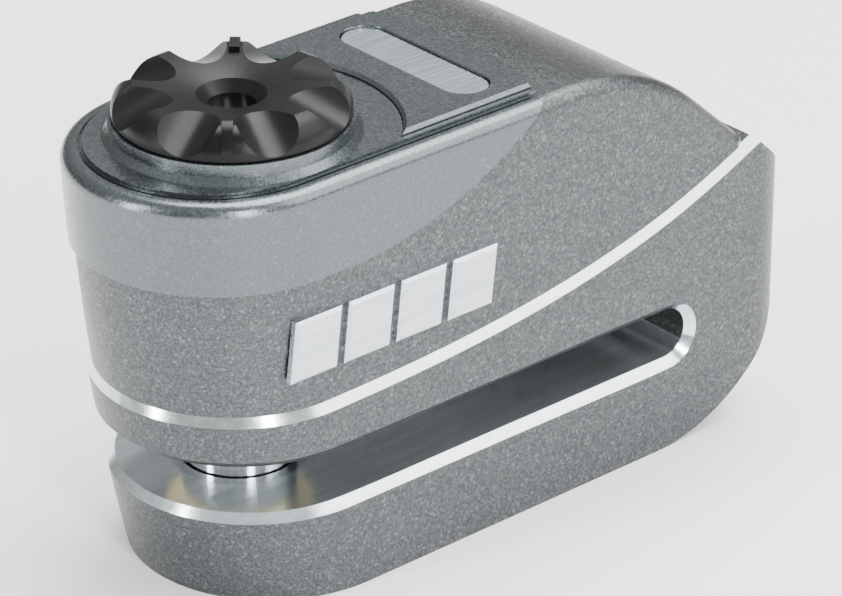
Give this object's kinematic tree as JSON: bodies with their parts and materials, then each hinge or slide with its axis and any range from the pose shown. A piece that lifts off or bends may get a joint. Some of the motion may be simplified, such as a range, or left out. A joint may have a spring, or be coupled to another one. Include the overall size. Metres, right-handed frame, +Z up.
{
  "type": "disc brake lock",
  "caption": "Alarm disc brake lock for a motorcycle: silver cast C-shaped body, push-down 14 mm bolt, black scalloped knob that turns with the key.",
  "frame": {"origin": "middle of the bounding box at the flat base", "axes": "+X from the nose with the bolt to the closed rear end, +Z up along the bolt, -Y the side with the emblem seen first"},
  "size_m": [0.0978, 0.0362, 0.062],
  "materials": {
    "body": "satin",
    "cover": "satin",
    "plate": "satin",
    "knob": "satin",
    "steel": "polished",
    "brass": "satin",
    "rubber": "matte",
    "plastic": "matte",
    "board": "satin",
    "cell": "satin"
  },
  "bodies": {
    "housing": {"alarm_chip": "plastic", "battery_lid": "cover", "bay_lid": "plastic", "bay_screw_1": "steel", "bay_screw_2": "steel", "bay_screw_3": "steel", "bay_screw_4": "steel", "blank_plate": "plate", "body_casting": "body", "cell": "cell", "cell_contact": "brass", "circuit_board": "board", "contact_strip": "brass", "cover_screw_1": "steel", "cover_screw_2": "steel", "emblem_bar_left_1": "plate", "emblem_bar_left_2": "plate", "emblem_bar_left_3": "plate", "emblem_bar_left_4": "plate", "emblem_bar_right_1": "plate", "emblem_bar_right_2": "plate", "emblem_bar_right_3": "plate", "emblem_bar_right_4": "plate", "foam_pad": "rubber", "guide_bush": "brass", "lid_screw_1": "steel", "lid_screw_2": "steel", "lid_seal": "rubber", "motion_sensor": "plastic", "return_spring": "steel", "siren_case": "plastic", "siren_disc": "brass", "strike_bush": "steel", "top_cover": "cover", "wiper_ring": "rubber"},
    "bolt_unit": {"lock_barrel": "steel", "locking_bolt": "steel", "bolt_pin": "steel"},
    "key_plug": {"knob": "knob", "plug_cage": "brass", "drill_plate": "steel", "sidebar": "steel", "latch_cam": "steel", "disc_1": "brass", "disc_2": "brass", "disc_3": "brass", "disc_4": "brass", "disc_5": "brass", "disc_6": "brass", "disc_7": "brass", "disc_8": "brass", "disc_9": "brass"},
    "ball_left": {"latch_ball_left": "steel"},
    "ball_right": {"latch_ball_right": "steel"}
  },
  "joints": [
    {"name": "push_lock", "type": "slide", "parent": "housing", "child": "bolt_unit", "axis": [0, 0, 1], "range_m": [0, 0.0125], "deforming": ["return_spring"]},
    {"name": "key_turn", "type": "hinge", "parent": "bolt_unit", "child": "key_plug", "pos_m": [-0.02811, 0, 0.0574], "axis": [0, 0, 1], "range_deg": [0, 90]},
    {"name": "ball_left_slide", "type": "slide", "parent": "bolt_unit", "child": "ball_left", "axis": [0, 1, 0], "range_m": [0, 0.0011]},
    {"name": "ball_right_slide", "type": "slide", "parent": "bolt_unit", "child": "ball_right", "axis": [0, -1, 0], "range_m": [0, 0.0011]}
  ],
  "couplings": [
    {"joint": "ball_left_slide", "follows": "key_turn", "m_per_rad": 0.00070028},
    {"joint": "ball_right_slide", "follows": "key_turn", "m_per_rad": 0.00070028}
  ]
}
